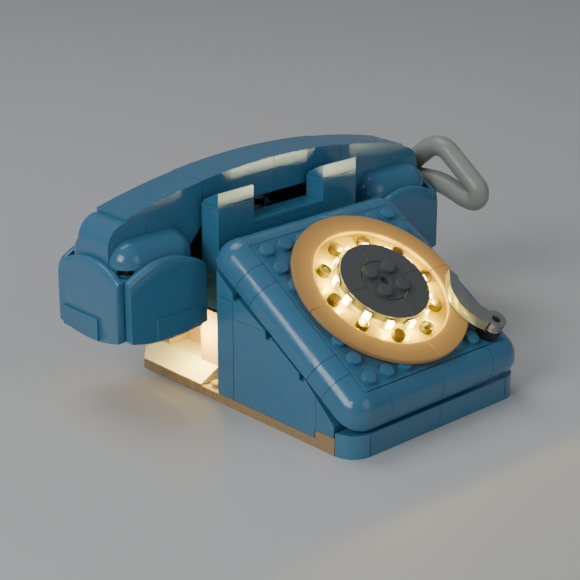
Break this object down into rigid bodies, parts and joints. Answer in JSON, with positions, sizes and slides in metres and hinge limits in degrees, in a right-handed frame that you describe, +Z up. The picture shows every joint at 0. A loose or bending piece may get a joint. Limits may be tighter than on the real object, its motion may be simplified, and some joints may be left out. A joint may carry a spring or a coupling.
{
  "type": "toy telephone",
  "caption": "Brick-built toy telephone with a turning dial on a sloping face, a curved finger stop, warm lamps in the dial and a lift-off handset on a rear cradle.",
  "frame": {"origin": "middle of the base's flat underside", "axes": "+Z up, -Y towards the front where the dial faces, +X to the right as seen from the front"},
  "size_m": [0.1591, 0.1134, 0.0739],
  "materials": {
    "blue_plastic": "glossy moulded",
    "tan_plastic": "glossy moulded",
    "cream_plastic": "glossy moulded",
    "white_plastic": "glossy moulded",
    "dark_grey_plastic": "satin moulded",
    "black_plastic": "glossy moulded",
    "light_grey_plastic": "satin moulded",
    "lamp": "translucent"
  },
  "bodies": {
    "phone_base": {"base_plate": "tan_plastic", "front_brick": "blue_plastic", "front_corner_left": "blue_plastic", "front_corner_right": "blue_plastic", "body_core": "blue_plastic", "side_wall_left_front": "blue_plastic", "side_wall_left_rear": "blue_plastic", "side_wall_right_front": "blue_plastic", "side_wall_right_rear": "blue_plastic", "platform_left": "cream_plastic", "platform_right": "cream_plastic", "platform_rear": "cream_plastic", "platform_deck": "cream_plastic", "cradle_foot": "tan_plastic", "cradle_rear": "blue_plastic", "cradle_front": "blue_plastic", "post_left": "blue_plastic", "post_right": "blue_plastic", "post_slope_left": "blue_plastic", "post_slope_right": "blue_plastic", "face_plate": "blue_plastic", "bezel_edge_left": "blue_plastic", "bezel_edge_right": "blue_plastic", "bezel_edge_front": "blue_plastic", "bezel_edge_back": "blue_plastic", "bezel_corner_front_left": "blue_plastic", "bezel_corner_front_right": "blue_plastic", "bezel_corner_back_left": "blue_plastic", "bezel_corner_back_right": "blue_plastic", "stop_base": "black_plastic"},
    "dial": {"dial_wheel": "white_plastic", "led_strip": "lamp", "ring_quarter_1": "white_plastic", "ring_quarter_2": "white_plastic", "ring_quarter_3": "white_plastic", "ring_quarter_4": "white_plastic", "dial_disc": "dark_grey_plastic", "disc_centre": "dark_grey_plastic"},
    "finger_stop": {"stop_claw": "dark_grey_plastic"},
    "handset": {"handle_core": "blue_plastic", "handle_end_left": "blue_plastic", "handle_top_left": "blue_plastic", "ear_core_left": "blue_plastic", "ear_disc_left": "black_plastic", "ear_panel_left_front": "blue_plastic", "ear_panel_left_back": "blue_plastic", "ear_panel_left_side": "blue_plastic", "capsule_left_front": "blue_plastic", "capsule_left_back": "blue_plastic", "handle_end_right": "blue_plastic", "handle_top_right": "blue_plastic", "ear_core_right": "blue_plastic", "ear_disc_right": "black_plastic", "ear_panel_right_front": "blue_plastic", "ear_panel_right_back": "blue_plastic", "ear_panel_right_side": "blue_plastic", "capsule_right_front": "blue_plastic", "capsule_right_back": "blue_plastic", "cord": "light_grey_plastic"}
  },
  "joints": [
    {"name": "dial_turn", "type": "hinge", "parent": "phone_base", "child": "dial", "pos_m": [0, -0.02662, 0.03848], "axis": [0, -0.5346, 0.8451], "continuous": true},
    {"name": "finger_stop_swivel", "type": "hinge", "parent": "phone_base", "child": "finger_stop", "pos_m": [0.028, -0.05328, 0.02824], "axis": [0, -0.5346, 0.8451], "range_deg": [-20, 20]},
    {"name": "handset_lift", "type": "slide", "parent": "phone_base", "child": "handset", "axis": [0, 0, 1], "range_m": [0, 0.05]}
  ]
}
